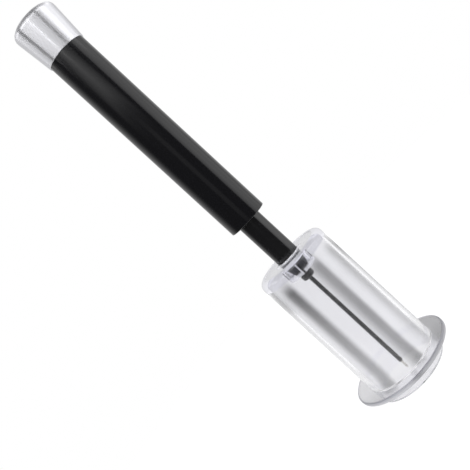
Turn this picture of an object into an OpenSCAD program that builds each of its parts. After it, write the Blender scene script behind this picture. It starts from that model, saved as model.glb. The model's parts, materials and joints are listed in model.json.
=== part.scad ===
// Air pump wine opener. It stands upright on the skirt of its clear guide cup, +Z up along the
// common axis of all its pieces, with the origin at the centre of the skirt's lower face.
// The handle tube slides on the pump rod, and the guide cup slides up the rod to bare the needle.

/* [Guide cup] */
// Height of the guide cup, from the skirt's lower face to the roof
guide_h = 74; // [66:0.5:90]
// Outer diameter of the cup where it meets the flange
guide_d = 36.1; // [35.6:0.1:38]
// Outer diameter of the cup just below its rounded shoulder
guide_top_d = 35.4; // [34.8:0.1:37]
// Bore of the cup, which takes the neck of the bottle
guide_bore_d = 31.6; // [30:0.1:32]
// Thickness of the cup's roof
roof_t = 2.6; // [2:0.1:4]
// Radius of the rounded shoulder
shoulder_r = 2.8; // [1.5:0.1:4]
// Radius of the fillet inside the roof
roof_fillet_r = 1.4; // [0.5:0.1:2]
// Outer diameter of the flange
flange_d = 49.5; // [42:0.5:56]
// Thickness of the flange
flange_t = 2; // [1.5:0.1:3]
// Height of the skirt below the flange
skirt_h = 5.8; // [4:0.1:10]
// Outer diameter of the skirt
skirt_d = 35.6; // [34.6:0.1:37]
// Small rounding of the flange and skirt edges
edge_r = 0.4; // [0.2:0.05:0.7]

/* [Guide collar] */
// Outer diameter of the slotted collar under the roof
collar_d = 14.4; // [13:0.1:18]
// Length of the collar below the roof
collar_l = 6.4; // [4:0.1:9]
// Number of slits in the collar
slit_n = 4; // [2:1:8]
// Width of each slit
slit_w = 0.9; // [0.5:0.1:1.5]
// Length of each slit
slit_l = 5.2; // [2:0.1:6]

/* [Pump rod] */
// Outer diameter of the rod
rod_d = 11; // [10:0.1:12]
// Bore of the rod
rod_bore_d = 7; // [6:0.1:8]
// Depth of the rod's lower end below the guide's top face
rod_inset = 3.5; // [2.8:0.1:6]
// Diameter of the needle holder next to the rod
holder_d = 9.6; // [8:0.1:10]
// Diameter of the needle holder's lower face
holder_end_d = 6.4; // [6:0.1:7.5]
// Length of the needle holder below the rod
holder_l = 6.5; // [5:0.1:9]
// Length of the straight band at the top of the needle holder
holder_band_l = 1.2; // [0.5:0.1:2]
// Length of the holder's spigot in the rod
holder_spigot_l = 9.5; // [8:0.1:14]
// Air passage in the holder and in the piston
air_d = 2.4; // [1.6:0.1:3]

/* [Needle] */
// Diameter of the needle hub
hub_d = 5.9; // [5:0.1:7]
// Height of the needle hub
hub_l = 2.5; // [2:0.1:4]
// Bevel of the hub's lower edge
hub_bevel = 0.8; // [0.2:0.1:1.2]
// Diameter of the hub's stub in the holder
stub_d = 3.6; // [3:0.1:4.2]
// Length of the hub's stub
stub_l = 4; // [3:0.1:5]
// Thickness of the gasket between the hub and the holder
gasket_t = 0.5; // [0.3:0.05:1]
// Outer diameter of the steel needle
needle_d = 1; // [0.8:0.05:1.3]
// Bore of the steel needle
needle_bore_d = 0.52; // [0.3:0.02:0.6]
// Outer diameter of the needle's coating
sleeve_d = 1.9; // [1.7:0.05:2.4]
// Length of the coating below the hub
sleeve_l = 54.5; // [40:0.5:55]
// Length of the bare tip below the coating
tip_l = 4.1; // [3:0.1:5]
// Length of the pointed end
point_l = 0.7; // [0.4:0.1:1.2]
// Height of the side port above the needle's point
port_h = 1.3; // [1.2:0.1:2]
// Diameter of the side port
port_d = 0.44; // [0.3:0.02:0.5]

/* [Handle] */
// Bare stretch of the rod between the guide's top and the handle, at rest
neck_gap = 22.8; // [21:0.1:30]
// Outer diameter of the handle tube
handle_d = 18.4; // [18:0.1:20]
// Wall of the handle tube
handle_wall = 1; // [0.6:0.1:1.2]
// Length of the handle tube
handle_l = 100.1; // [95:0.5:130]
// Length of the bush at the handle's lower end
bush_l = 10.9; // [8:0.1:14]
// Depth of the bush inside the tube's mouth
bush_inset = 0.5; // [0.2:0.1:2]

/* [Pump] */
// Bore of the pump barrel
barrel_d = 14; // [13.6:0.1:14.6]
// Length of the piston head
piston_l = 10; // [9:0.1:14]
// Length of the piston's spigot in the rod
piston_spigot_l = 8; // [6:0.1:12]
// Section of the piston's seal ring
seal_t = 1.9; // [1.4:0.1:2.2]
// Thickness of the stop washer under the piston
stop_t = 1.5; // [1:0.1:3]
// Thickness of the washer that the piston lands on
landing_t = 1.2; // [0.8:0.1:2]
// Length of the barrel plug's spigot
plug_l = 5; // [4:0.1:8]
// Thickness of the barrel plug's head
plug_head_t = 4; // [3:0.1:6]

/* [Check valve] */
// Bore of the valve chamber in the piston
chamber_d = 5.2; // [4.8:0.1:5.6]
// Depth of the valve chamber below the piston's top
chamber_l = 12.5; // [11.5:0.1:14]
// Length of the valve seat
seat_l = 4.5; // [3:0.1:5]
// Inlet hole in the valve seat
inlet_d = 2.2; // [1.6:0.1:2.4]
// Diameter of the valve ball
ball_d = 3.4; // [3.2:0.1:4]
// Mean diameter of the valve spring
spring_d = 2.4; // [2:0.1:2.8]
// Diameter of the spring's wire
wire_d = 0.4; // [0.3:0.05:0.5]
// Number of curls in the valve spring
spring_curls = 5; // [3:1:5]

/* [End cap] */
// Height of the silver end cap
cap_h = 19.1; // [16:0.1:26]
// Diameter of the cap next to the handle tube
cap_base_d = 19.2; // [18.8:0.1:21]
// Largest diameter of the cap, near its top
cap_d = 21.9; // [20:0.1:25]
// Radius of the cap's rounded upper edge
cap_round_r = 3; // [1.5:0.1:4]
// Wall of the cap
cap_wall = 1; // [0.6:0.1:1.2]
// Length of the cap core's spigot in the handle tube
core_spigot_l = 4; // [3:0.1:8]
// Height of the cap core inside the cap
core_h = 13; // [11:0.1:15]
// Diameter of the cap screw
screw_d = 3; // [2.5:0.1:4]
// Diameter of the screw's head
screw_head_d = 5.6; // [5:0.1:7]
// Height of the screw's head
screw_head_h = 2; // [1.5:0.1:3]
// Reach of the screw into the barrel plug
screw_grip = 5.7; // [4:0.1:6]

/* [Fits] */
// Radial clearance between pieces that are fixed to each other
fit = 0.05; // [0.02:0.01:0.08]
// Radial clearance where the rod and the piston slide
slide_fit = 0.08; // [0.04:0.01:0.1]
// Gap left where a moving piece lands on its stop
stop_gap = 0.2; // [0.1:0.05:0.3]

/* [Hidden] */

$fn = 96;
round_steps = 8;
small_steps = 4;
eps = 0.01;

// Levels of the guide cup
flange_z = skirt_h;
wall_z = skirt_h + flange_t;
roof_z = guide_h - roof_t;
collar_z = roof_z - collar_l;
rod_hole_d = rod_d + 2 * slide_fit;

// Levels of the rod's lower end and the needle, downwards
rod_z = guide_h - rod_inset;
holder_z = rod_z - holder_l;
hub_top_z = holder_z - gasket_t;
hub_z = hub_top_z - hub_l;
sleeve_z = hub_z - sleeve_l;
tip_z = sleeve_z - tip_l;

// Levels of the handle, downwards from the seat of the cap
handle_z = guide_h + neck_gap;
cap_z = handle_z + handle_l;
plug_top_z = cap_z - core_spigot_l;
plug_head_z = plug_top_z - plug_head_t;
plug_z = plug_head_z - plug_l;
landing_z = plug_z - landing_t;
piston_top_z = landing_z - stop_gap;
piston_z = piston_top_z - piston_l;
bush_z = handle_z + bush_inset;
barrel_z = bush_z + bush_l;

// Round sizes that follow from what a piece sits in
handle_bore_d = handle_d - 2 * handle_wall;
liner_d = handle_bore_d - 2 * fit;
spigot_d = rod_bore_d - 2 * fit;
piston_d = barrel_d - 2 * slide_fit;
seal_d = barrel_d - 2 * fit;
seal_groove_d = seal_d - 2 * seal_t - 2 * fit;
holder_ring_t = 0.96;
holder_groove_d = spigot_d - 2 * holder_ring_t - 2 * fit;
ring_play = 0.15;
washer_gap = 0.6;
landing_hole_d = 4.8;

// Check valve, downwards from the piston's top
seat_z = piston_top_z - seat_l;
ball_z = seat_z - sqrt(pow(ball_d / 2, 2) - pow(inlet_d / 2, 2)) - fit;
chamber_z = piston_top_z - chamber_l;
spring_low_z = chamber_z + wire_d / 2 + fit;
spring_reach = (ball_d + wire_d) / 2 + fit;
spring_high_z = ball_z - sqrt(pow(spring_reach, 2) - pow(spring_d / 2, 2));
spring_pitch = (spring_high_z - spring_low_z) / spring_curls;
spring_rings = 8;
spring_sides = 6;

// Cap core and its screw
core_d = cap_base_d - 2 * cap_wall - 2 * fit;
core_floor_t = 7;
screw_seat_z = cap_z + core_floor_t;
screw_z = plug_top_z - screw_grip;
drive_w = 0.8;
drive_l = 3.4;
drive_h = 1.1;

// Points of an arc about [x, y] from angle a to angle b
function arc(x, y, r, a, b, n) =
    [for (i = [0:n]) let (t = a + (b - a) * i / n) [x + r * cos(t), y + r * sin(t)]];

// A plain ring between two diameters
module washer(outer_d, inner_d, height) {
    rotate_extrude() translate([inner_d / 2, 0]) square([(outer_d - inner_d) / 2, height]);
}

// A round-section seal ring that reaches out to outer_d
module seal_ring(outer_d, section) {
    rotate_extrude() translate([(outer_d - section) / 2, 0]) circle(d = section, $fn = 32);
}

// A groove cut for a seal ring, centred on z = 0
module ring_groove(outer_d, groove_d, width) {
    translate([0, 0, -width / 2]) washer(outer_d + 2, groove_d, width);
}

// A slot for a driver, cut down from z = 0
module drive_slot(length, depth) {
    translate([-length / 2, -drive_w / 2, -depth]) cube([length, drive_w, depth + eps]);
}

module guide_wall() {
    skirt_r = skirt_d / 2;
    flange_r = flange_d / 2;
    top_r = guide_top_d / 2;
    bore_r = guide_bore_d / 2;
    shoulder_z = guide_h - shoulder_r;
    fillet_z = roof_z - roof_fillet_r;
    rotate_extrude() polygon(concat(
        [[bore_r + edge_r, 0]],
        arc(skirt_r - edge_r, edge_r, edge_r, -90, 0, small_steps),
        [[skirt_r, flange_z]],
        arc(flange_r - edge_r, flange_z + edge_r, edge_r, -90, 0, small_steps),
        arc(flange_r - edge_r, wall_z - edge_r, edge_r, 0, 90, small_steps),
        [[guide_d / 2 + edge_r, wall_z], [guide_d / 2, wall_z + edge_r]],
        arc(top_r - shoulder_r, shoulder_z, shoulder_r, 0, 90, round_steps),
        [[0, guide_h], [0, roof_z]],
        arc(bore_r - roof_fillet_r, fillet_z, roof_fillet_r, 90, 0, small_steps),
        [[bore_r, edge_r]]
    ));
}

module bottle_guide() color([0.86, 0.87, 0.9, 0.45]) {
    difference() {
        union() {
            guide_wall();
            translate([0, 0, collar_z]) cylinder(d = collar_d, h = collar_l + eps);
        }
        translate([0, 0, collar_z - 1]) cylinder(d = rod_hole_d, h = collar_l + roof_t + 2);
        for (i = [0:slit_n - 1])
            rotate([0, 0, -90 + i * 360 / slit_n])
                translate([rod_d / 4, -slit_w / 2, collar_z - 1])
                    cube([collar_d, slit_w, slit_l + 1]);
    }
}

module pump_rod() color([0.07, 0.07, 0.08]) {
    translate([0, 0, rod_z]) washer(rod_d, rod_bore_d, piston_z - rod_z);
}

module needle_holder() color([0.1, 0.1, 0.11]) {
    ring_z = rod_z + holder_spigot_l / 2;
    difference() {
        rotate_extrude() polygon([
            [0, holder_z], [holder_end_d / 2, holder_z],
            [holder_d / 2 - 0.5, rod_z - holder_band_l - 2], [holder_d / 2, rod_z - holder_band_l],
            [holder_d / 2, rod_z], [spigot_d / 2, rod_z],
            [spigot_d / 2, rod_z + holder_spigot_l], [0, rod_z + holder_spigot_l]
        ]);
        translate([0, 0, ring_z])
            ring_groove(spigot_d, holder_groove_d, holder_ring_t + 2 * ring_play);
        translate([0, 0, holder_z - 1]) cylinder(d = air_d, h = holder_l + holder_spigot_l + 2);
        translate([0, 0, holder_z - 1])
            cylinder(d = stub_d + 2 * fit, h = 1 + stub_l - gasket_t + ring_play);
    }
}

module holder_o_ring() color([0.13, 0.13, 0.13]) {
    translate([0, 0, rod_z + holder_spigot_l / 2]) seal_ring(spigot_d, holder_ring_t);
}

module hub_gasket() color([0.15, 0.15, 0.15]) {
    translate([0, 0, hub_top_z]) washer(hub_d - washer_gap, stub_d + 2 * fit, gasket_t);
}

module needle_hub() color([0.06, 0.06, 0.07]) {
    difference() {
        rotate_extrude() polygon([
            [0, hub_z], [hub_d / 2 - hub_bevel, hub_z], [hub_d / 2, hub_z + hub_bevel],
            [hub_d / 2, hub_top_z], [stub_d / 2, hub_top_z],
            [stub_d / 2, hub_top_z + stub_l], [0, hub_top_z + stub_l]
        ]);
        translate([0, 0, hub_z - 1]) cylinder(d = needle_d + 2 * fit, h = hub_l + stub_l + 2);
    }
}

module needle_tube() color([0.78, 0.78, 0.76]) {
    needle_top_z = hub_top_z + stub_l;
    bore_floor_z = tip_z + port_h - port_d / 2;
    difference() {
        union() {
            translate([0, 0, tip_z]) cylinder(d1 = needle_d / 3, d2 = needle_d, h = point_l, $fn = 48);
            translate([0, 0, tip_z + point_l])
                cylinder(d = needle_d, h = needle_top_z - tip_z - point_l, $fn = 48);
        }
        translate([0, 0, bore_floor_z])
            cylinder(d = needle_bore_d, h = needle_top_z - bore_floor_z + 1, $fn = 32);
        translate([0, 0, tip_z + port_h]) rotate([90, 0, 0]) cylinder(d = port_d, h = needle_d, $fn = 32);
    }
}

module needle_sleeve() color([0.05, 0.05, 0.06]) {
    sleeve_r = sleeve_d / 2;
    bore_r = needle_d / 2 + fit / 2;
    bevel = sleeve_r - bore_r - 0.1;
    rotate_extrude() polygon([
        [bore_r, sleeve_z], [sleeve_r - bevel, sleeve_z], [sleeve_r, sleeve_z + bevel],
        [sleeve_r, hub_z], [bore_r, hub_z]
    ]);
}

module piston() color([0.82, 0.82, 0.78]) {
    spigot_z = piston_z - piston_spigot_l;
    difference() {
        union() {
            translate([0, 0, piston_z]) cylinder(d = piston_d, h = piston_l);
            translate([0, 0, spigot_z]) cylinder(d = spigot_d, h = piston_spigot_l + eps);
        }
        translate([0, 0, piston_z + piston_l / 2]) ring_groove(piston_d, seal_groove_d, seal_t + 2 * ring_play);
        translate([0, 0, chamber_z]) cylinder(d = chamber_d, h = chamber_l + 1);
        translate([0, 0, spigot_z - 1]) cylinder(d = air_d, h = piston_spigot_l + piston_l);
    }
}

module piston_o_ring() color([0.13, 0.13, 0.13]) {
    translate([0, 0, piston_z + piston_l / 2]) seal_ring(seal_d, seal_t);
}

module stop_washer() color([0.16, 0.16, 0.16]) {
    translate([0, 0, piston_z - stop_t]) washer(piston_d - 2 * fit, rod_d + 2 * fit, stop_t);
}

module valve_seat() color("goldenrod") {
    difference() {
        translate([0, 0, seat_z]) washer(chamber_d - 2 * fit, inlet_d, seat_l);
        translate([0, 0, piston_top_z]) drive_slot(drive_l, drive_h);
    }
}

module valve_ball() color("silver") {
    translate([0, 0, ball_z]) sphere(d = ball_d);
}

// The spring is one unbroken tube swept along a helix
spring_n = spring_curls * spring_rings;
function spring_centre(i) = let (t = i / spring_rings)
    [spring_d / 2 * cos(360 * t), spring_d / 2 * sin(360 * t), spring_low_z + spring_pitch * t];
function spring_point(i, j) = let (
    c = spring_centre(i), turn = 360 * i / spring_rings, a = 360 * j / spring_sides,
    slope = atan2(spring_pitch, PI * spring_d), out = wire_d / 2 * cos(a), up = wire_d / 2 * sin(a))
    c + [out * cos(turn) + up * sin(slope) * sin(turn),
         out * sin(turn) - up * sin(slope) * cos(turn), up * cos(slope)];
spring_gap = min([for (i = [0:spring_rings - 1], j = [0:spring_sides - 1], k = [-2:2], m = [0:spring_sides - 1])
    norm(spring_point(i + spring_rings + k, m) - spring_point(i, j))]);

module valve_spring() color("lightgray") {
    echo(least_gap_of_the_spring_to_itself = spring_gap);
    points = [for (i = [0:spring_n], j = [0:spring_sides - 1]) spring_point(i, j)];
    last = spring_n * spring_sides;
    sides = [for (i = [0:spring_n - 1], j = [0:spring_sides - 1])
        let (k = (j + 1) % spring_sides, p = i * spring_sides, q = p + spring_sides)
            each [[p + j, q + j, q + k], [p + j, q + k, p + k]]];
    ends = [for (j = [1:spring_sides - 2])
        each [[0, j, j + 1], [last, last + j + 1, last + j]]];
    polyhedron(points, concat(sides, ends));
}

module handle_tube() color([0.08, 0.08, 0.09]) {
    outer_r = handle_d / 2;
    bore_r = handle_bore_d / 2;
    lip = handle_wall / 4;
    rotate_extrude() polygon([
        [bore_r, handle_z], [outer_r - lip, handle_z], [outer_r, handle_z + lip],
        [outer_r, cap_z], [bore_r, cap_z]
    ]);
}

module pump_barrel() color([0.75, 0.76, 0.78]) {
    translate([0, 0, barrel_z]) washer(liner_d, barrel_d, plug_head_z - barrel_z);
}

module guide_bush() color([0.12, 0.12, 0.13]) {
    translate([0, 0, bush_z]) washer(liner_d, rod_hole_d, bush_l);
}

module barrel_plug() color([0.2, 0.2, 0.22]) {
    difference() {
        union() {
            translate([0, 0, plug_head_z]) cylinder(d = liner_d, h = plug_head_t);
            translate([0, 0, plug_z]) cylinder(d = seal_d, h = plug_l + eps);
        }
        translate([0, 0, plug_z + plug_l / 2]) ring_groove(seal_d, seal_groove_d, seal_t + 2 * ring_play);
        translate([0, 0, screw_z - ring_play]) cylinder(d = screw_d + 2 * fit, h = screw_grip + 1);
    }
}

module plug_o_ring() color([0.13, 0.13, 0.13]) {
    translate([0, 0, plug_z + plug_l / 2]) seal_ring(seal_d, seal_t);
}

module landing_washer() color([0.16, 0.16, 0.16]) {
    translate([0, 0, landing_z]) washer(piston_d - washer_gap, landing_hole_d, landing_t);
}

module cap_core() color([0.18, 0.18, 0.2]) {
    difference() {
        union() {
            translate([0, 0, cap_z]) cylinder(d = core_d, h = core_h);
            translate([0, 0, plug_top_z]) cylinder(d = liner_d, h = core_spigot_l + eps);
        }
        translate([0, 0, plug_top_z - 1]) cylinder(d = screw_d + 2 * fit, h = core_spigot_l + core_h + 2);
        translate([0, 0, screw_seat_z]) cylinder(d = screw_head_d + 2 * washer_gap, h = core_h);
    }
}

module cap_screw() color("silver") {
    screw_top_z = screw_seat_z + screw_head_h;
    difference() {
        union() {
            translate([0, 0, screw_z]) cylinder(d = screw_d, h = screw_seat_z - screw_z + eps);
            translate([0, 0, screw_seat_z]) cylinder(d = screw_head_d, h = screw_head_h);
        }
        for (a = [0, 90])
            translate([0, 0, screw_top_z]) rotate([0, 0, a]) drive_slot(drive_l, drive_h);
    }
}

module end_cap() color([0.8, 0.8, 0.82]) {
    cap_r = cap_d / 2;
    base_r = cap_base_d / 2;
    round_z = cap_z + cap_h - cap_round_r;
    inner_round_r = max(cap_round_r - cap_wall, 0.2);
    rotate_extrude() polygon(concat(
        [[base_r - cap_wall, cap_z], [base_r, cap_z]],
        arc(cap_r - cap_round_r, round_z, cap_round_r, 0, 90, round_steps),
        [[0, cap_z + cap_h], [0, cap_z + cap_h - cap_wall]],
        arc(cap_r - cap_wall - inner_round_r, cap_z + cap_h - cap_wall - inner_round_r, inner_round_r,
            90, 0, round_steps)
    ));
}

bottle_guide();
pump_rod();
needle_holder();
holder_o_ring();
hub_gasket();
needle_hub();
needle_tube();
needle_sleeve();
piston();
piston_o_ring();
stop_washer();
valve_seat();
valve_ball();
valve_spring();
handle_tube();
pump_barrel();
guide_bush();
barrel_plug();
plug_o_ring();
landing_washer();
cap_core();
cap_screw();
end_cap();
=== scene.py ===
# %% [markdown]
# # Air pump wine opener
# A hand pump opens the bottle with air. The needle goes through the cork, the handle slides up and
# down on the black rod, and the air that leaves the needle lifts the cork. The moving bodies and the
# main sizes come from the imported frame, in metres. Sizes written here are in millimetres, and MM turns
# them to metres. Every piece is made where it stays.

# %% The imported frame
import json
import math
import bmesh
import bpy
from mathutils import Matrix, Vector


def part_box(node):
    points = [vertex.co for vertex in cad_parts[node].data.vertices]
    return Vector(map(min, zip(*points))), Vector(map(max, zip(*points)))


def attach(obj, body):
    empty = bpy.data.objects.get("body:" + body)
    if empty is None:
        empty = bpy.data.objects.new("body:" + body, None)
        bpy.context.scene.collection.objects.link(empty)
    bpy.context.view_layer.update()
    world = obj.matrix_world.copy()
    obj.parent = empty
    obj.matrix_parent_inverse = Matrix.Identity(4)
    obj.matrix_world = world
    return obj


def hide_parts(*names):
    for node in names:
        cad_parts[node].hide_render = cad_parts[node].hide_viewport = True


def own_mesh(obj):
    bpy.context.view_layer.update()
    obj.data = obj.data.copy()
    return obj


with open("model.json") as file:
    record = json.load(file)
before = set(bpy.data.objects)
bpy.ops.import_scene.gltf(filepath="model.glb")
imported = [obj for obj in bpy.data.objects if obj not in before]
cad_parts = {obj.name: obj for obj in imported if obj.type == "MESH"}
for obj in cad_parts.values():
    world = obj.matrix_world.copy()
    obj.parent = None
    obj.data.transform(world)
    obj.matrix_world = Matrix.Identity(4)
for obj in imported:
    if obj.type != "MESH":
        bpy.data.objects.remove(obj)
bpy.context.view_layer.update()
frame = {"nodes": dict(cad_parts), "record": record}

MM = 0.001

# %% [markdown]
# ## The camera
# The object is photographed from a little above its middle, with the camera rolled so that the
# upright pump lies across the picture, cap at the upper left. Distance and lens follow from how much
# the ellipses of the flange and the cap open up, so they are set as a real camera's would be. A camera
# that is only turned until the picture looks right gets these ellipses wrong.

# %% Camera
SENSOR = 36.0
LENS = 51.17
CAMERA_PLACE = Vector((0.0, -279.4, 123.8)) * MM
CAMERA_YAW = 1.74
CAMERA_PITCH = -5.59
CAMERA_ROLL = -47.56


def turned_by(angle, axis):
    """A rotation about one axis, from an angle in degrees."""
    return Matrix.Rotation(math.radians(angle), 4, axis)


def place_camera():
    data = bpy.data.cameras.new("camera")
    data.sensor_width = SENSOR
    data.lens = LENS
    camera = bpy.data.objects.new("camera", data)
    bpy.context.scene.collection.objects.link(camera)
    aim = turned_by(CAMERA_YAW, "Z") @ turned_by(90 + CAMERA_PITCH, "X") @ turned_by(CAMERA_ROLL, "Z")
    camera.matrix_world = Matrix.Translation(CAMERA_PLACE) @ aim
    bpy.context.scene.camera = camera
    return camera


camera = place_camera()
print("camera at", [round(c, 4) for c in camera.matrix_world.translation])

# %% [markdown]
# ## How a finish is built
# Every finish starts as one Principled shader with the real material's base values. Nodes could be
# wired by hand in the editor, but one small function adds a node with its settings and links, so that
# a material reads as a short list. Colours are written as sRGB hex values, as a colour picker shows
# them, and one function turns them to linear.

# %% Colours and nodes
def linear(colour):
    """Linear RGBA of an sRGB hex colour."""
    parts = [int(colour[i:i + 2], 16) / 255 for i in (1, 3, 5)]
    return [c / 12.92 if c < 0.04045 else ((c + 0.055) / 1.055) ** 2.4 for c in parts] + [1.0]


def add(tree, kind, settings=None, **sockets):
    """Adds a node. Settings are its own options. A socket, by its name or as i and its number,
    takes a value or a link."""
    made = tree.nodes.new(kind)
    for name, value in (settings or {}).items():
        setattr(made, name, value)
    for name, value in sockets.items():
        socket = made.inputs[int(name[1:])] if name[1:].isdigit() else made.inputs[name.replace("_", " ")]
        if isinstance(value, bpy.types.NodeSocket):
            tree.links.new(value, socket)
        else:
            socket.default_value = value
    return made


def bare_material(name):
    """A material without nodes yet, and its tree."""
    material = bpy.data.materials.new(name)
    material.use_nodes = True
    material.node_tree.nodes.clear()
    return material, material.node_tree


def new_finish(name, colour, **sockets):
    """A material with one Principled shader, wired to its output."""
    material, tree = bare_material(name)
    shader = add(tree, "ShaderNodeBsdfPrincipled", Base_Color=linear(colour), **sockets)
    add(tree, "ShaderNodeOutputMaterial", Surface=shader.outputs["BSDF"])
    return material, tree, shader


print("white in linear light:", linear("#FFFFFF"))

# %% [markdown]
# ## How a pattern is built
# A real surface is never quite even. Its marks could be painted on, but noise that reads Object
# coordinates needs no picture, stays on the piece, and keeps its real size: its scale is one over the
# size of a mark in metres. The same noise then makes a surface rougher and smoother, or lifts it a
# little as relief.

# %% Patterns
def grain(tree, size, stretch=(1, 1, 1), detail=2.0):
    """Noise with marks of a size in millimetres, longer along an axis whose stretch is small."""
    place = add(tree, "ShaderNodeTexCoord").outputs["Object"]
    place = add(tree, "ShaderNodeMapping", Vector=place, Scale=stretch).outputs["Vector"]
    noise = add(tree, "ShaderNodeTexNoise", Vector=place, Scale=1 / (size * MM), Detail=detail)
    return noise.outputs["Fac"]


def relief(tree, shader, height, depth):
    """Turns a pattern into relief of a depth in millimetres."""
    bump = add(tree, "ShaderNodeBump", Height=height, Distance=depth * MM)
    tree.links.new(bump.outputs["Normal"], shader.inputs["Normal"])


def uneven(tree, shader, socket, pattern, low, high):
    """Lets a pattern drive a socket between two values."""
    spread = add(tree, "ShaderNodeMapRange", Value=pattern, To_Min=low, To_Max=high)
    tree.links.new(spread.outputs["Result"], shader.inputs[socket])


print("noise scale for marks of 1 mm:", 1 / MM)

# %% [markdown]
# ## Clear moulded plastic
# The cup is injection moulded from clear acrylic. Full transmission with acrylic's own index of
# refraction gives its bright edges, and a little roughness softens what lies far behind it. A few
# places are rougher, or get painted shade or painted highlights in the finish, so the finish has to
# know where on the cup it is. Each place is found from its height and from its distance from the
# axis, here called its reach. Both are read from Object coordinates, so a place stays on the cup when the cup
# slides.

# %% Places on the cup
SKIRT_H = 5.8
FLANGE_T = 2.0
COLLAR_R = 7.2
ROD_HOLE = 5.58


def cup_places(tree):
    """Reach, sideways place and height of a point of the cup, in metres."""
    place = add(tree, "ShaderNodeTexCoord").outputs["Object"]
    flat = add(tree, "ShaderNodeVectorMath", {"operation": "MULTIPLY"}, i0=place, i1=(1, 1, 0))
    reach = add(tree, "ShaderNodeVectorMath", {"operation": "LENGTH"}, i0=flat.outputs["Vector"])
    sides = add(tree, "ShaderNodeSeparateXYZ", Vector=place).outputs
    return reach.outputs["Value"], sides["X"], sides["Z"]


def fade(tree, place, start, end, full=1.0):
    """A share that grows from none at one place, in millimetres, to full at another."""
    share = add(tree, "ShaderNodeMapRange", Value=place, From_Min=start * MM, From_Max=end * MM, To_Max=full)
    return share.outputs["Result"]


FLANGE_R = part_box("bottle_guide")[1].x / MM
print("flange: radius and top in mm", round(FLANGE_R, 2), round(SKIRT_H + FLANGE_T, 2))

# %% [markdown]
# ## Painted shade on the rim of the flange
# Light that has run through the whole flange comes out at its rim, scattered and greyer. Glass with
# one colour would need a strong tint for that, which would grey the thin wall as well. So the rim
# alone is rough, and grey is painted into its colour as shade. Its upper edge, which shows as a thin
# dark line on the real cup, gets the darkest painted shade.

# %% Painted shade on the rim of the flange
CLEAR_COLOUR = "#F4F4F7"
CLEAR_ROUGH = 0.09
RIM_ROUGH = 0.5
RIM_INSET = 1.0
RIM_FADE = 0.6
RIM_SHADE_LINE = (1.2, 0.3)


def rim_painted_shade(tree, shader, reach, z):
    """Makes the flange's rim rough, and paints shade into its colour, darkest along its upper edge."""
    start, top = FLANGE_R - RIM_INSET, SKIRT_H + FLANGE_T
    rim = fade(tree, reach, start, start + RIM_FADE)
    uneven(tree, shader, "Roughness", rim, CLEAR_ROUGH, RIM_ROUGH)
    line = fade(tree, z, top - RIM_SHADE_LINE[0], top - RIM_SHADE_LINE[1])
    # Painted shade: the rim greys to #E8E8EC, and to #AEAEB8 along its upper edge.
    grey = add(tree, "ShaderNodeMix", {"data_type": "RGBA"}, i0=line,
               i6=linear("#E8E8EC"), i7=linear("#AEAEB8")).outputs[2]
    grey = add(tree, "ShaderNodeMix", {"data_type": "RGBA"}, i0=rim,
               i6=linear(CLEAR_COLOUR), i7=grey).outputs[2]
    tree.links.new(grey, shader.inputs["Base Color"])


print("the rim starts in mm at", round(FLANGE_R - RIM_INSET, 2))

# %% [markdown]
# ## Painted highlights round the hole and the collar
# The wall of the hole that the rod runs in, the collar's lower lip and one edge of its slit catch the
# light on the real cup, and stand pale in front of the black rod and holder. Their fine scratches and
# roundings, which catch that light, would be lost at this size, so each place mixes a share of matt
# white into the plastic as a painted highlight.

# %% Painted highlights round the hole and the collar
HOLE_REACH = ROD_HOLE + 0.17
HOLE_LOW = 70.3
HOLE_FADE = 0.3
HOLE_HIGHLIGHT = 0.85
COLLAR_REACH = COLLAR_R + 0.15
LIP_HIGH = 66.6
LIP_FADE = 0.5
LIP_HIGHLIGHT = 0.4
SLIT_EDGE = -0.75
SLIT_EDGE_W = 0.6
SLIT_EDGE_HIGHLIGHT = 0.45


def painted_highlight_share(tree, reach, x, z):
    """How much painted highlight, as matt white, the cup gets at the wall of its hole, at the collar's lip
    and at its slit.
    """
    in_hole = add(tree, "ShaderNodeMath", {"operation": "LESS_THAN"}, i0=reach, i1=HOLE_REACH * MM)
    on_collar = add(tree, "ShaderNodeMath", {"operation": "LESS_THAN"}, i0=reach, i1=COLLAR_REACH * MM)
    at_slit = add(tree, "ShaderNodeMath", {"operation": "COMPARE"},
                  i0=x, i1=SLIT_EDGE * MM, i2=SLIT_EDGE_W / 2 * MM)
    parts = (
        (in_hole, fade(tree, z, HOLE_LOW, HOLE_LOW + HOLE_FADE, HOLE_HIGHLIGHT)),
        (on_collar, fade(tree, z, LIP_HIGH, LIP_HIGH - LIP_FADE, LIP_HIGHLIGHT)),
        (on_collar, add(tree, "ShaderNodeMath", {"operation": "MULTIPLY"}, i0=at_slit.outputs["Value"],
                        i1=SLIT_EDGE_HIGHLIGHT).outputs["Value"]))
    share = 0.0
    for place, amount in parts:
        part = add(tree, "ShaderNodeMath", {"operation": "MULTIPLY"}, i0=place.outputs["Value"], i1=amount)
        most = add(tree, "ShaderNodeMath", {"operation": "MAXIMUM"}, i0=share, i1=part.outputs["Value"])
        share = most.outputs["Value"]
    return share


print("matt above", HOLE_LOW, "mm in the hole and below", LIP_HIGH, "mm on the collar")

# %% [markdown]
# ## How light goes through the cup
# A path through many bent walls is seldom found by a renderer, and clear plastic then turns black or
# noisy. So only the first wall that a ray meets bends it. Past that wall it goes straight on, and the
# needle and the rod are seen once. The rounded shoulder would show a large black image of the rod, so
# it doesn't bend what is seen either: there the plastic is only tinted and has a gloss. A ray that
# came in straight leaves straight. Light from the lamps always goes straight through. A wave of a
# hundredth of a millimetre, as moulded walls have, keeps the bands in the wall from being too even.

# %% Clear acrylic
CLEAR_IOR = 1.49
CLEAR_SHARE = 0.99
CLEAR_WAVE = 9.0
WAVE_DEPTH = 0.01
FIRST_WALL = 0.5
MOST_WALLS = 1.5
SHOULDER_LOW = 69.4
SHOULDER_REACH = 14.0
SHOULDER_FADE = 0.6


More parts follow.
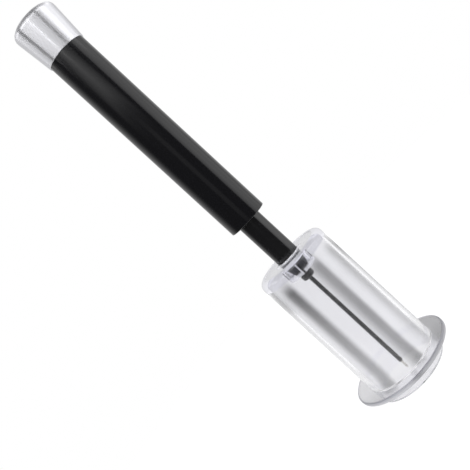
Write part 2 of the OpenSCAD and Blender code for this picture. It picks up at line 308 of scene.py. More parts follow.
def unbent_share(tree, rays, inside, reach, z):
    """1 at the shoulder, and where a ray that came in straight leaves the plastic."""
    high = fade(tree, z, SHOULDER_LOW, SHOULDER_LOW + SHOULDER_FADE)
    wide = fade(tree, reach, SHOULDER_REACH, SHOULDER_REACH + SHOULDER_FADE)
    shoulder = add(tree, "ShaderNodeMath", {"operation": "MULTIPLY"}, i0=high, i1=wide)
    first = add(tree, "ShaderNodeMath", {"operation": "LESS_THAN"}, i0=rays["Ray Depth"], i1=FIRST_WALL)
    leaves = add(tree, "ShaderNodeMath", {"operation": "MULTIPLY"}, i0=inside, i1=first.outputs["Value"])
    share = add(tree, "ShaderNodeMath", {"operation": "MAXIMUM"},
                i0=shoulder.outputs["Value"], i1=leaves.outputs["Value"])
    return share.outputs["Value"]


def glossy_tint(tree, inside):
    """Plastic that doesn't bend light: a tint, and a gloss on its outer side."""
    tint = add(tree, "ShaderNodeBsdfTransparent", Color=linear("#F6F6F9")).outputs["BSDF"]
    gloss = add(tree, "ShaderNodeBsdfGlossy", Roughness=CLEAR_ROUGH).outputs["BSDF"]
    mirror = add(tree, "ShaderNodeFresnel", IOR=CLEAR_IOR).outputs["Fac"]
    mirror = add(tree, "ShaderNodeMix", i0=inside, i2=mirror, i3=0.0).outputs["Result"]
    return add(tree, "ShaderNodeMixShader", i0=mirror, i1=tint, i2=gloss).outputs["Shader"]


def clear_acrylic():
    material, tree, shader = new_finish(
        "clear_moulded_acrylic", CLEAR_COLOUR, Transmission_Weight=CLEAR_SHARE, IOR=CLEAR_IOR)
    reach, x, z = cup_places(tree)
    relief(tree, shader, grain(tree, CLEAR_WAVE, detail=1.0), WAVE_DEPTH)
    rim_painted_shade(tree, shader, reach, z)
    rays = add(tree, "ShaderNodeLightPath").outputs
    inside = add(tree, "ShaderNodeNewGeometry").outputs["Backfacing"]
    late = add(tree, "ShaderNodeMath", {"operation": "GREATER_THAN"}, i0=rays["Ray Depth"], i1=MOST_WALLS)
    straight = add(tree, "ShaderNodeBsdfTransparent", Color=linear("#FDFDFE")).outputs["BSDF"]
    # Matt white in the clear colour, mixed in as painted highlights at the hole, the collar's lip and the
    # slit.
    matt = add(tree, "ShaderNodeBsdfDiffuse", Color=linear(CLEAR_COLOUR)).outputs["BSDF"]
    lamp_light = add(tree, "ShaderNodeBsdfTransparent", Color=linear("#EEEEF0")).outputs["BSDF"]
    seen = shader.outputs["BSDF"]
    for share, other in (
            (late.outputs["Value"], straight),
            (unbent_share(tree, rays, inside, reach, z), glossy_tint(tree, inside)),
            (painted_highlight_share(tree, reach, x, z), matt),
            (rays["Is Shadow Ray"], lamp_light)):
        seen = add(tree, "ShaderNodeMixShader", i0=share, i1=seen, i2=other).outputs["Shader"]
    tree.links.new(seen, tree.nodes["Material Output"].inputs["Surface"])
    return material


CLEAR = clear_acrylic()
print("made", CLEAR.name)

# %% [markdown]
# ## Black metal
# The handle is an aluminium tube with a smooth black coat, and the rod is hard anodised and buffed.
# Both layers hide the metal and gloss as clear lacquer does, so the shader isn't metallic. A lamp's
# edge still shows in them, a little soft. A slow unevenness, as handling leaves it, keeps the
# highlights alive. The grain of about half a millimetre is coarser than the real one, so that it shows.

# %% Black coated and black anodised aluminium
BLACK_COAT_GRAIN = 0.45
HANDLING_MARKS = 14.0


def black_metal(name, colour, ior, smooth, rough, depth):
    material, tree, shader = new_finish(name, colour, IOR=ior, Metallic=0.0)
    uneven(tree, shader, "Roughness", grain(tree, HANDLING_MARKS, (1, 1, 0.4)), smooth, rough)
    relief(tree, shader, grain(tree, BLACK_COAT_GRAIN), depth)
    return material


HANDLE_COAT = black_metal("satin_black_coated_aluminium", "#09090C", 1.5, 0.12, 0.16, 0.001)
ROD_COAT = black_metal("black_hard_anodised_aluminium", "#09090B", 1.6, 0.12, 0.16, 0.001)
print("made", HANDLE_COAT.name, "and", ROD_COAT.name)

# %% [markdown]
# ## Turned aluminium
# The cap is turned on a lathe and left bright. The cutter's rings lie round the axis, so the
# highlights stay narrow across the cap and are smeared far along it. The rings could be cut into the
# mesh, but anisotropy gives the same look. It smears along the tangent, which runs round the axis, so
# it is turned by a quarter. Real rings are about a tenth of a millimetre apart and are drawn at a
# third, so that they show in the picture.

# %% Bright turned aluminium
TOOL_RINGS = 0.35


def turned_aluminium(name, colour, roughness, depth):
    material, tree, shader = new_finish(
        name, colour, Metallic=1.0, Roughness=roughness, Anisotropic=0.85, Anisotropic_Rotation=0.25)
    tangent = add(tree, "ShaderNodeTangent", {"direction_type": "RADIAL", "axis": "Z"})
    tree.links.new(tangent.outputs["Tangent"], shader.inputs["Tangent"])
    relief(tree, shader, grain(tree, TOOL_RINGS, (0.02, 0.02, 1)), depth)
    return material


CAP_METAL = turned_aluminium("bright_turned_aluminium", "#DDDDE1", 0.36, 0.0003)
BARREL_METAL = turned_aluminium("drawn_aluminium", "#C9CACD", 0.3, 0.001)
print("made", CAP_METAL.name, "and", BARREL_METAL.name)

# %% [markdown]
# ## Steel and brass
# The needle is a drawn stainless tube, so its fine lines run along it, and they make it rougher in
# some lines than in others. Noise that is stretched along the axis gives such lines with one node. The
# spring, the ball and the screw are plain bright steel, and the valve seat is turned brass.

# %% Steel and brass
DRAW_LINES = 0.12
DRAWN_SPREAD = 0.2


def drawn_metal(name, colour, roughness):
    material, tree, shader = new_finish(name, colour, Metallic=1.0)
    lines = grain(tree, DRAW_LINES, (1, 1, 0.03))
    smooth, rough = roughness * (1 - DRAWN_SPREAD), roughness * (1 + DRAWN_SPREAD)
    uneven(tree, shader, "Roughness", lines, smooth, rough)
    relief(tree, shader, lines, 0.001)
    return material


NEEDLE_STEEL = drawn_metal("drawn_stainless_steel", "#C9C7C2", 0.22)
BRIGHT_STEEL = drawn_metal("bright_steel", "#B9BABC", 0.2)
BRASS = drawn_metal("turned_brass", "#C9A45A", 0.25)
print("made", NEEDLE_STEEL.name, BRIGHT_STEEL.name, BRASS.name)

# %% [markdown]
# ## Moulded and rubber pieces
# The needle holder, its hub and the bush are black nylon with the faint grain of an etched mould.
# The needle's coating is a dull fluoropolymer. The pump's head and plug are natural acetal, a milky
# white that lets a little light in, and the seals are black nitrile rubber. They differ in colour,
# roughness and the size of their marks, from 0.2 to 0.5 mm, so one function makes them all.

# %% Nylon, fluoropolymer, acetal and rubber
MOULDED_SPREAD = 0.06


def moulded(name, colour, roughness, grain_size, depth, **sockets):
    material, tree, shader = new_finish(name, colour, **sockets)
    marks = grain(tree, grain_size)
    uneven(tree, shader, "Roughness", marks, roughness - MOULDED_SPREAD, roughness + MOULDED_SPREAD)
    relief(tree, shader, marks, depth)
    return material


NYLON = moulded("black_moulded_nylon", "#0E0E10", 0.38, 0.3, 0.006, IOR=1.53)
COATING = moulded("black_fluoropolymer_coating", "#0E0E10", 0.5, 0.2, 0.003, IOR=1.38)
ACETAL = moulded("natural_acetal", "#E4E3DC", 0.35, 0.5, 0.003, IOR=1.48, Subsurface_Weight=0.1)
RUBBER = moulded("black_nitrile_rubber", "#18181A", 0.6, 0.25, 0.008, IOR=1.52)
print("made", NYLON.name, COATING.name, ACETAL.name, RUBBER.name)

# %% [markdown]
# ## Turned pieces
# Nearly every piece is round, so one helper spins an outline about the z axis. The outline is a loop
# of corners in millimetres, drawn as one flat face. Beveling the corners of that face gives each
# edge its real radius, and the face is dropped before the spin, so that only the skin is left.

# %% Turning a piece
ROUND_STEPS = 5
POLE_GAP = 0.0001 * MM
SMOOTH_ANGLE = 32


def turned(outline, rounds=(), steps=128):
    """A bmesh spun about z. rounds lists (radius in mm, numbers of the outline's corners)."""
    skin = bmesh.new()
    corners = [skin.verts.new((r * MM, 0, z * MM)) for r, z in outline]
    skin.faces.new(corners)
    for radius, numbers in rounds:
        bmesh.ops.bevel(
            skin, geom=[corners[n] for n in numbers], offset=radius * MM, affect="VERTICES",
            segments=ROUND_STEPS, profile=0.5, material=-1)
    bmesh.ops.delete(skin, geom=skin.faces[:], context="FACES_ONLY")
    bmesh.ops.spin(
        skin, geom=skin.verts[:] + skin.edges[:], cent=(0, 0, 0), axis=(0, 0, 1),
        angle=2 * math.pi, steps=steps, use_merge=True)
    bmesh.ops.remove_doubles(skin, verts=skin.verts[:], dist=POLE_GAP)
    bmesh.ops.recalc_face_normals(skin, faces=skin.faces[:])
    return skin


def dress(name, skin, node, finish):
    """Makes a piece of a bmesh. It stands for a CAD node and moves with that node's body."""
    mesh = bpy.data.meshes.new(name)
    skin.to_mesh(mesh)
    skin.free()
    mesh.shade_smooth()
    mesh.set_sharp_from_angle(angle=math.radians(SMOOTH_ANGLE))
    mesh.materials.append(finish)
    piece = bpy.data.objects.new(name, mesh)
    bpy.context.scene.collection.objects.link(piece)
    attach(piece, BODY_OF[node])
    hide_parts(node)
    print(name, "has", len(mesh.polygons), "faces")
    return piece


def span(node):
    """Radius, lower and upper end of a CAD node, in millimetres."""
    low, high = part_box(node)
    return high.x / MM, low.z / MM, high.z / MM


BODY_OF = {node: body for body, nodes in frame["record"]["behaviour"]["bodies"].items() for node in nodes}
print("guide cup: radius, lower and upper end in mm", [round(x, 2) for x in span("bottle_guide")])

# %% [markdown]
# ## The guide cup
# The cup is one clear moulding: a skirt, a flange to hold it down by, a tall wall with a little
# draft, a rounded shoulder, a flat roof, and under it a slit collar that steadies the needle holder.
# It is spun as one closed wall with its true thickness, because light bends at both of its faces.
# The slits are cut with a Boolean modifier, since a spun wall has no straight cuts.

# %% Guide cup
CUP_BORE = 15.8
CUP_FOOT_R = 18.05
CUP_TOP_R = 17.7
SKIRT_R = 17.8
ROOF_T = 2.6
COLLAR_H = 6.4
SLIT_W = 0.9
SLIT_H = 5.2
BLADE_OVER = 1


def guide_cup():
    flange_r, foot, top = span("bottle_guide")
    roof = top - ROOF_T
    collar = roof - COLLAR_H
    wall = SKIRT_H + FLANGE_T
    skin = turned(
        [(CUP_BORE, foot), (SKIRT_R, foot), (SKIRT_R, SKIRT_H), (flange_r, SKIRT_H), (flange_r, wall),
         (CUP_FOOT_R, wall), (CUP_TOP_R, top), (ROD_HOLE, top), (ROD_HOLE, collar), (COLLAR_R, collar),
         (COLLAR_R, roof), (CUP_BORE, roof)],
        [(0.4, (0, 1, 2)), (0.5, (3, 4)), (0.3, (5,)), (2.8, (6,)), (0.25, (7, 8, 9)), (0.4, (10,)),
         (1.4, (11,))], steps=192)
    cup = dress("clear_cup", skin, "bottle_guide", CLEAR)
    blades = bmesh.new()
    length = 2 * COLLAR_R + BLADE_OVER
    middle = collar + SLIT_H / 2 - BLADE_OVER / 2
    for size in ((length, SLIT_W), (SLIT_W, length)):
        blade = bmesh.ops.create_cube(blades, size=MM)["verts"]
        bmesh.ops.scale(blades, verts=blade, vec=(*size, SLIT_H + BLADE_OVER))
        bmesh.ops.translate(blades, verts=blade, vec=(0, 0, middle * MM))
    cut_away(cup, blades)
    return cup


def cut_away(piece, blades):
    """Cuts each blade, a closed form in the bmesh, out of the piece."""
    mesh = bpy.data.meshes.new("blades")
    blades.to_mesh(mesh)
    blades.free()
    tool = bpy.data.objects.new("blades", mesh)
    bpy.context.scene.collection.objects.link(tool)
    cut = piece.modifiers.new("cut", "BOOLEAN")
    cut.operation = "DIFFERENCE"
    cut.solver = "EXACT"
    cut.use_self = True
    cut.object = tool
    shaped = bpy.data.meshes.new_from_object(piece.evaluated_get(bpy.context.evaluated_depsgraph_get()))
    piece.modifiers.remove(cut)
    piece.data = shaped
    bpy.data.objects.remove(tool)
    print(piece.name, "has", len(shaped.polygons), "faces after the cut")


cup = guide_cup()

# %% [markdown]
# ## Rod, holder and needle
# The black rod is the pump's fixed core, and the needle holder is pressed into its lower end. A
# cylinder with a cone under it would look nearly right from outside, but the holder shows through
# the clear cup, so its groove, its bore and its taper are one outline.

# %% Rod and needle holder
ROD_BORE = 3.5
AIR_R = 1.2
STUB_R = 1.85
STUB_H = 3.65
GROOVE_H = 1.26
RING_ROOM = 0.05
TAPER_TIP_R = 3.2
TAPER_DOWN = 3.2
SHOULDER_DOWN = 1.2
SHOULDER_IN = 0.5


def rod_tube():
    outer, low, high = span("pump_rod")
    skin = turned([(ROD_BORE, low), (outer, low), (outer, high), (ROD_BORE, high)], [(0.3, range(4))])
    return dress("rod_tube", skin, "pump_rod", ROD_COAT)


def holder_body():
    outer, low, high = span("needle_holder")
    rod_end = span("pump_rod")[1]
    ring_r, ring_low, ring_high = span("holder_o_ring")
    middle = (ring_low + ring_high) / 2
    groove_r = ring_r - (ring_high - ring_low) - RING_ROOM
    skin = turned(
        [(STUB_R, low), (TAPER_TIP_R, low), (outer - SHOULDER_IN, rod_end - TAPER_DOWN),
         (outer, rod_end - SHOULDER_DOWN), (outer, rod_end), (ring_r, rod_end),
         (ring_r, middle - GROOVE_H / 2), (groove_r, middle - GROOVE_H / 2),
         (groove_r, middle + GROOVE_H / 2), (ring_r, middle + GROOVE_H / 2), (ring_r, high),
         (AIR_R, high), (AIR_R, low + STUB_H), (STUB_R, low + STUB_H)],
        [(0.3, (1,)), (0.6, (2, 3)), (0.12, (4, 10))])
    return dress("holder_body", skin, "needle_holder", NYLON)


rod = rod_tube()
holder = holder_body()

# %% [markdown]
# ## Hub and needle
# A small hub carries the needle, and a dull coating covers it down to its bare tip. The tip is closed
# and pointed, and the air leaves at a port in its side, which a Boolean modifier cuts as a drill does.

# %% Hub, needle and coating
NEEDLE_R = 0.5
NEEDLE_BORE = 0.26
POINT_H = 0.7
PORT_UP = 1.3
PORT_R = 0.22
HUB_GAP = 0.05
COATING_GAP = 0.03


def hub_body():
    outer, low, high = span("needle_hub")
    shoulder = span("hub_gasket")[1]
    skin = turned(
        [(NEEDLE_R + HUB_GAP, low), (outer, low), (outer, shoulder), (STUB_R - HUB_GAP, shoulder),
         (STUB_R - HUB_GAP, high), (NEEDLE_R + HUB_GAP, high)],
        [(0.8, (1,)), (0.2, (2,)), (0.15, (4,))])
    return dress("hub_body", skin, "needle_hub", NYLON)


def needle():
    outer, low, high = span("needle_tube")
    floor = low + PORT_UP - PORT_R
    skin = turned(
        [(0, low), (outer / 3, low), (outer, low + POINT_H), (outer, high), (NEEDLE_BORE, high),
         (NEEDLE_BORE, floor), (0, floor)],
        [(0.08, (1,)), (0.15, (2,)), (0.05, (3,))], steps=48)
    tube = dress("needle", skin, "needle_tube", NEEDLE_STEEL)
    port = bmesh.new()
    bmesh.ops.create_cone(
        port, cap_ends=True, segments=32, radius1=PORT_R * MM, radius2=PORT_R * MM, depth=outer * MM,
        matrix=Matrix.Translation((0, -outer / 2 * MM, (low + PORT_UP) * MM)) @ turned_by(90, "X"))
    cut_away(tube, port)
    return tube


def sleeve_coating():
    outer, low, high = span("needle_sleeve")
    skin = turned(
        [(NEEDLE_R + COATING_GAP, low), (outer, low), (outer, high), (NEEDLE_R + COATING_GAP, high)],
        [(0.3, (1,))], steps=64)
    return dress("sleeve_coating", skin, "needle_sleeve", COATING)


hub = hub_body()
needle_piece = needle()
coating = sleeve_coating()

# %% [markdown]
# ## Handle and cap
# The hand holds a plain black tube. Its lower rim is rounded, a bush inside it guides the rod, and
# a flared cap of bright aluminium closes the top. The cap widens upwards and ends in a soft edge,
# which the outline gives with one large bevel, inside and outside, so that its wall stays even.

# %% Handle, bush and cap
HANDLE_WALL = 1.0
CAP_BASE_R = 9.6
CAP_ROUND = 3.0
CAP_WALL = 1.0


def handle_shell():
    outer, low, high = span("handle_tube")
    inner = outer - HANDLE_WALL
    skin = turned(
        [(inner, low), (outer, low), (outer, high), (inner, high)], [(0.35, (1,)), (0.12, (0, 2, 3))])
    return dress("handle_shell", skin, "handle_tube", HANDLE_COAT)


def rod_bush():
    outer, low, high = span("guide_bush")
    skin = turned(
        [(ROD_HOLE, low), (outer, low), (outer, high), (ROD_HOLE, high)], [(0.5, (0, 3)), (0.2, (1, 2))])
    return dress("rod_bush", skin, "guide_bush", NYLON)


def cap_shell():
    widest, low, high = span("end_cap")
    lean = (widest - CAP_BASE_R) / (high - low - CAP_ROUND)
    corner = CAP_BASE_R + lean * (high - low)
    skin = turned(
        [(CAP_BASE_R - CAP_WALL, low), (CAP_BASE_R, low), (corner, high), (0, high),
         (0, high - CAP_WALL), (corner - CAP_WALL, high - CAP_WALL)],
        [(CAP_ROUND, (2,)), (CAP_ROUND - CAP_WALL, (5,)), (0.15, (0, 1))], steps=160)
    return dress("cap_shell", skin, "end_cap", CAP_METAL)


handle = handle_shell()
bush = rod_bush()
cap = cap_shell()

# %% [markdown]
# ## The valve spring
# A steel spring presses the ball on its seat. It could be a curve with a thickness, but a circle of
# wire that is spun with a step upwards is a closed mesh at once.

# %% Valve spring
COIL_R = 1.2
WIRE_R = 0.2
CURLS = 5
CURL_STEPS = 36


def valve_coil():
    low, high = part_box("valve_spring")
    rise = (high.z - low.z - 2 * WIRE_R * MM) / CURLS
    skin = bmesh.new()
    place = Matrix.Translation((COIL_R * MM, 0, low.z + WIRE_R * MM)) @ turned_by(90, "X")
    bmesh.ops.create_circle(skin, cap_ends=True, segments=14, radius=WIRE_R * MM, matrix=place)
    bmesh.ops.spin(
        skin, geom=skin.verts[:] + skin.edges[:] + skin.faces[:], cent=(0, 0, 0), axis=(0, 0, 1),
        dvec=(0, 0, rise / CURL_STEPS), angle=2 * math.pi * CURLS, steps=CURLS * CURL_STEPS)
    bmesh.ops.recalc_face_normals(skin, faces=skin.faces[:])
    coil = dress("valve_coil", skin, "valve_spring", BRIGHT_STEEL)
    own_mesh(coil)
    return coil


coil = valve_coil()

# %% [markdown]
# ## Straight reflections
# Smooth shading averages the normals where a long wall meets its small rounded edge, and that would
# bend every reflection along the wall. A Weighted Normal modifier lets the larger face decide.

# %% Straight reflections
for piece in (cup, rod, holder, hub, needle_piece, coating, handle, bush, cap):
    steady = piece.modifiers.new("straight", "WEIGHTED_NORMAL")
    steady.mode = "FACE_AREA"
    steady.keep_sharp = True
    print(piece.name, "keeps its walls straight")

# %% [markdown]
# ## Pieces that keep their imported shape
# The seals, washers, valve pieces, barrel, plug, core and screw are simple turned or bought pieces
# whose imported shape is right, so they only get their real finishes.

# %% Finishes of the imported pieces
KEPT = {
    RUBBER: ("holder_o_ring", "hub_gasket", "piston_o_ring", "stop_washer", "plug_o_ring", "landing_washer"),
    ACETAL: ("piston", "barrel_plug", "cap_core"),
    BRASS: ("valve_seat",),
    BRIGHT_STEEL: ("valve_ball", "cap_screw"),
    BARREL_METAL: ("pump_barrel",),
}
for finish, nodes in KEPT.items():
    for node in nodes:
        slots = frame["nodes"][node].material_slots
        for slot in slots:
            slot.material = finish
    print(finish.name, "on", ", ".join(nodes))

# %% [markdown]
# ## Floor and backdrop
# The object stands on a white floor in front of a white backdrop. A matt white disc would need so
# much light to be white that the object would be too bright, so what the camera sees of it glows. It
# still darkens where the object keeps the light off, so the shadow stays. Through the clear cup it is
# a shade darker, as white paper would be, and reflections find it dark on the camera's side, where
# the room is. It lies a hair under the object's foot, so that the two faces don't fight.

# %% A piece of the set
def stage_piece(name, skin, finish):
    """Makes a piece of a bmesh that belongs to the set and not to the object."""
    mesh = bpy.data.meshes.new(name)
    skin.to_mesh(mesh)
    skin.free()
    mesh.materials.append(finish)
    piece = bpy.data.objects.new(name, mesh)
    bpy.context.scene.collection.objects.link(piece)
    print(name, "has", len(mesh.polygons), "faces")
    return piece


# %% Floor
FLOOR_R = 0.36
FLOOR_GLOW = 0.86
FLOOR_GLOW_THROUGH = 0.66
FLOOR_DROP = 0.03
ROOM_FLOOR = 0.2
ROOM_FLOOR_Y = -130
LIT_FLOOR_Y = -70


def floor_glow(tree, rays):
    """How strongly the floor glows: less through the cup, and dark in front but for the camera."""
    place = add(tree, "ShaderNodeTexCoord").outputs["Object"]
    lit = add(tree, "ShaderNodeMapRange", {"interpolation_type": "SMOOTHSTEP"},
              Value=add(tree, "ShaderNodeSeparateXYZ", Vector=place).outputs["Y"],
              From_Min=ROOM_FLOOR_Y * MM, From_Max=LIT_FLOOR_Y * MM, To_Min=ROOM_FLOOR)
    lit = add(tree, "ShaderNodeMath", {"operation": "MAXIMUM"},
              i0=lit.outputs["Result"], i1=rays["Is Camera Ray"])
    glow = add(tree, "ShaderNodeMix", i0=rays["Is Transmission Ray"], i2=FLOOR_GLOW, i3=FLOOR_GLOW_THROUGH)
    glow = add(tree, "ShaderNodeMath", {"operation": "MULTIPLY"},
               i0=glow.outputs["Result"], i1=lit.outputs["Value"])
    return glow.outputs["Value"]


def floor_paper():
    material, tree = bare_material("white_paper")
    rays = add(tree, "ShaderNodeLightPath").outputs
    shown = rays["Is Camera Ray"]
    for ray in ("Is Glossy Ray", "Is Transmission Ray"):
        shown = add(tree, "ShaderNodeMath", {"operation": "MAXIMUM"}, i0=shown, i1=rays[ray]).outputs["Value"]
    light = add(tree, "ShaderNodeEmission", Strength=floor_glow(tree, rays)).outputs["Emission"]
    faint = add(tree, "ShaderNodeBsdfDiffuse", Color=linear("#8C8C8C")).outputs["BSDF"]
    matt = add(tree, "ShaderNodeBsdfDiffuse", Color=linear("#E6E6E6")).outputs["BSDF"]
    glowing = add(tree, "ShaderNodeAddShader", i0=light, i1=faint).outputs["Shader"]
    surface = add(tree, "ShaderNodeMixShader", i0=shown, i1=matt, i2=glowing)
    add(tree, "ShaderNodeOutputMaterial", Surface=surface.outputs["Shader"])
    return material


disc = bmesh.new()
drop = Matrix.Translation((0, 0, -FLOOR_DROP * MM))
bmesh.ops.create_circle(disc, cap_ends=True, segments=96, radius=FLOOR_R, matrix=drop)
floor = stage_piece("floor", disc, floor_paper())
print("floor radius in m:", FLOOR_R)

# %% [markdown]
# ## Grey cards behind the cup
# Clear plastic on white has nothing to show, so a studio hangs grey cards close behind it. Each card
# lies under the cup and bends up behind it, and its grey is a row of soft stops across its width. It
# is out of sight by itself and only darkens what is seen through the plastic or mirrored inside it: a
# narrow soft band on the left, a wider one on the right that deepens slowly and ends sooner, and one
# at the right edge. A ring of card on the floor, under the flange, greys the flange in the same way.

# %% The grey of a card
CARD_Y = 26.0
CARD_FRONT = -9.0
CARD_HIGH = 64.0
CARD_FADE = 9.0
CARD_DROP = FLOOR_DROP / 2


def card_ramp(tree, x, y, stops):
    """A grey that follows stops of (x in mm at the card's back, darkness), narrower towards the camera."""
    left, right = stops[0][0], stops[-1][0]
    near = add(tree, "ShaderNodeMapRange", {"clamp": False}, Value=y,
               From_Min=CAMERA_PLACE.y, From_Max=CARD_Y * MM)
    x = add(tree, "ShaderNodeMath", {"operation": "DIVIDE"}, i0=x, i1=near.outputs["Result"])
    across = fade(tree, x.outputs["Value"], left, right)
    ramp = add(tree, "ShaderNodeValToRGB", Fac=across)
    ramp.color_ramp.interpolation = "EASE"
    knots = ramp.color_ramp.elements
    while len(knots) < len(stops):
        knots.new(0.5)
    for knot, (place, dark) in zip(knots, stops):
        knot.position = (place - left) / (right - left)
        knot.color = (dark, dark, dark, 1)
    return ramp.outputs["Color"]


def card_grey(name, stops, foot_share, ends):
    """A card's grey. It weakens to its foot, and fades out at its top and between its ends in y."""
    material, tree = bare_material(name + "_grey")
    place = add(tree, "ShaderNodeTexCoord").outputs["Object"]
    place = add(tree, "ShaderNodeSeparateXYZ", Vector=place).outputs
    dark = card_ramp(tree, place["X"], place["Y"], stops)
    top = add(tree, "ShaderNodeMapRange", {"interpolation_type": "SMOOTHSTEP"}, Value=place["Z"],
              From_Min=CARD_HIGH * MM, From_Max=(CARD_HIGH - CARD_FADE) * MM).outputs["Result"]
    foot = add(tree, "ShaderNodeMapRange", Value=place["Z"], From_Max=CARD_HIGH * MM,
               To_Min=foot_share).outputs["Result"]
    for share in (top, foot, fade(tree, place["Y"], *ends)):
        dark = add(tree, "ShaderNodeMath", {"operation": "MULTIPLY"}, i0=dark, i1=share).outputs["Value"]
    clear = add(tree, "ShaderNodeBsdfTransparent").outputs["BSDF"]
    black = add(tree, "ShaderNodeBsdfDiffuse", Color=(0, 0, 0, 1)).outputs["BSDF"]
    surface = add(tree, "ShaderNodeMixShader", i0=dark, i1=clear, i2=black)
    add(tree, "ShaderNodeOutputMaterial", Surface=surface.outputs["Shader"])
    return material


def hang(name, sheet, stops, foot_share, ends):
    """Hangs a card that only what passes through the plastic, or is mirrored, can meet."""
    card = stage_piece(name, sheet, card_grey(name, stops, foot_share, ends))
    for kind in ("camera", "diffuse", "shadow", "volume_scatter"):
        setattr(card, "visible_" + kind, False)
    return card


print("cards at y in mm:", CARD_Y)

# %% [markdown]
# ## Three cards and a ring
# The cards are single sheets that grow from one edge. Their stops are in millimetres from the middle
# of the picture, so each band can be set against its place in the wall.

# %% Cards behind the cup
LEFT_CARD = ((-110, 0), (-90, 0.3), (-40, 0.34), (-19, 0.17), (-13.9, 0.88), (-12, 0.88), (-8.2, 0))
RIGHT_CARD = ((-0.9, 0), (6.7, 0.62), (7.8, 0.62), (10.4, 0))
EDGE_CARD = ((12, 0), (21, 0.7), (30, 0.7), (42, 0.38), (58, 0.38), (84, 0.22), (100, 0))


def bent_card(name, stops, foot_share=1.0):
    """A sheet that lies under the cup and bends up behind it."""
    sheet = bmesh.new()
    corners = [Vector((stop[0], CARD_FRONT, -CARD_DROP)) * MM for stop in (stops[0], stops[-1])]
    edge = sheet.edges.new([sheet.verts.new(corner) for corner in corners])
    for step in ((0, CARD_Y - CARD_FRONT, 0), (0, 0, CARD_HIGH)):
        grown = bmesh.ops.extrude_edge_only(sheet, edges=[edge])["geom"]
        ends = [part for part in grown if isinstance(part, bmesh.types.BMVert)]
        bmesh.ops.translate(sheet, verts=ends, vec=Vector(step) * MM)
        edge = sheet.edges.get(ends)
    return hang(name, sheet, stops, foot_share, (CARD_FRONT, CARD_FRONT + CARD_FADE))


left_card = bent_card("left_card", LEFT_CARD, foot_share=0.65)
right_card = bent_card("right_card", RIGHT_CARD)
edge_card = bent_card("edge_card", EDGE_CARD, foot_share=0.6)

# %% Card under the flange
RING_BORE = 16.5
RING_R = 40.0
RING_ENDS = (14, -6)
RING_DROP = FLOOR_DROP * 0.75
RING_CARD = ((-40, 0.35), (-15, 0.35), (-11.5, 0.65), (-7, 0.2), (3, 0.2), (7, 0.65), (10.5, 0.25),
             (15, 0.32), (40, 0.32))


def ring_card(name, stops):
    """A ring on the floor under the flange, which ends behind the cup."""
    sheet = bmesh.new()
    drop = Matrix.Translation((0, 0, -RING_DROP * MM))
    bmesh.ops.create_circle(sheet, cap_ends=False, segments=64, radius=RING_BORE * MM, matrix=drop)
    grown = bmesh.ops.extrude_edge_only(sheet, edges=sheet.edges[:])["geom"]
    outer = [part for part in grown if isinstance(part, bmesh.types.BMVert)]
    bmesh.ops.scale(sheet, verts=outer, vec=(RING_R / RING_BORE, RING_R / RING_BORE, 1))
    return hang(name, sheet, stops, 1.0, RING_ENDS)


under_card = ring_card("under_card", RING_CARD)

# %% [markdown]
# ## Lamps
# A tall panel stands at the right, and softboxes hang in front, at the left and behind. The black
# handle mirrors only what is low, so the low front box, which is weak, gives the highlight on its
# upper half, and its lower edge ends that highlight. A low fill greys the handle's lower half. The
# high boxes are brighter and hang just above what the handle mirrors: only the cap, which smears them
# down, shows them, and the gaps between them give its thin dark lines. What is seen through the clear
# cup misses the lamps, which would leave hard glints in it. Azimuths are measured from the camera's
# side of the object, positive to the right. A softbox is brightest along its own axis, which a spread
# below 180 degrees gives. A brightness of 1 shines like white paper: a lamp's power is its brightness
# times pi times its area, less what the spread cuts off.

# %% Lamps
LAMP_FROM = Vector((0, 0, 110)) * MM


def lamp(name, azimuth, elevation, distance, size, brightness, spread=180, aside=0.0):
    """A soft lamp that faces the object, from an azimuth and an elevation in degrees."""
    data = bpy.data.lights.new(name, "AREA")
    data.shape = "RECTANGLE"
    data.size, data.size_y = size
    data.spread = math.radians(spread)
    half = data.spread / 2
    kept = 1 - half / math.tan(half) if spread < 180 else 1
    data.energy = brightness * math.pi * size[0] * size[1] * kept
    made = bpy.data.objects.new(name, data)
    bpy.context.scene.collection.objects.link(made)
    turn = turned_by(azimuth, "Z") @ turned_by(90 - elevation, "X")
    made.matrix_world = Matrix.Translation(LAMP_FROM) @ turn @ Matrix.Translation((aside, 0, distance))
    made.visible_camera = False
    made.visible_transmission = False
    print(name, "shines with", round(data.energy, 2), "W")
    return made


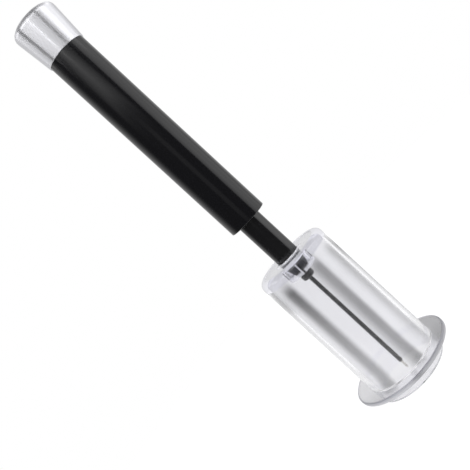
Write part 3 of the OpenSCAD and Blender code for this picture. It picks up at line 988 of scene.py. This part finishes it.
right_panel = lamp("right_panel", 79, 0, 0.6, (0.68, 1.0), 1.55, spread=90, aside=0.09)
high_right_box = lamp("high_right_box", 49.5, 31.5, 0.9, (0.93, 0.28), 3.3, spread=100, aside=0.375)
high_back_box = lamp("high_back_box", 121, 31.5, 0.9, (0.45, 0.28), 1.1)
left_box = lamp("left_box", -82, 31.5, 0.9, (0.65, 0.28), 3.1, spread=100, aside=-0.325)
low_front_box = lamp("low_front_box", -8, 17, 0.9, (2.0, 0.125), 1.15, spread=96)
high_left_front_box = lamp("high_left_front_box", -36.5, 31.5, 0.9, (0.86, 0.28), 3.8)
high_front_box = lamp("high_front_box", 10.5, 31.5, 0.9, (0.66, 0.28), 2.95)
low_fill = lamp("low_fill", -1, 1.25, 0.9, (0.33, 0.24), 0.17)

# %% [markdown]
# ## World
# The world is the white studio around the set. The camera sees it plain white. Reflections and what
# is seen through the clear cup find it white behind the object, though a shade darker, and dark on
# the camera's side, where the room is. Matt surfaces get even light from it.

# %% World
ROOM_DARK = 0.1
BACKDROP_BRIGHT = 0.75
ROOM_END = -0.1
BACKDROP_START = 0.6
AMBIENT = 0.55


def studio_world():
    world = bpy.data.worlds.new("studio")
    bpy.context.scene.world = world
    world.use_nodes = True
    tree = world.node_tree
    tree.nodes.clear()
    rays = add(tree, "ShaderNodeLightPath").outputs
    towards = add(tree, "ShaderNodeTexCoord").outputs["Generated"]
    back = add(tree, "ShaderNodeSeparateXYZ", Vector=towards).outputs["Y"]
    strength = add(tree, "ShaderNodeMapRange", {"interpolation_type": "SMOOTHSTEP"}, Value=back,
                   From_Min=ROOM_END, From_Max=BACKDROP_START, To_Min=ROOM_DARK,
                   To_Max=BACKDROP_BRIGHT).outputs["Result"]
    sharp = add(tree, "ShaderNodeMath", {"operation": "MAXIMUM"},
                i0=rays["Is Glossy Ray"], i1=rays["Is Transmission Ray"]).outputs["Value"]
    strength = add(tree, "ShaderNodeMix", i0=sharp, i2=AMBIENT, i3=strength).outputs["Result"]
    strength = add(tree, "ShaderNodeMix", i0=rays["Is Camera Ray"], i2=strength, i3=1.0).outputs["Result"]
    light = add(tree, "ShaderNodeBackground", Color=(1, 1, 1, 1), Strength=strength)
    add(tree, "ShaderNodeOutputWorld", Surface=light.outputs["Background"])
    bpy.context.scene.view_settings.view_transform = "Standard"
    return world


world = studio_world()
print("world:", world.name)
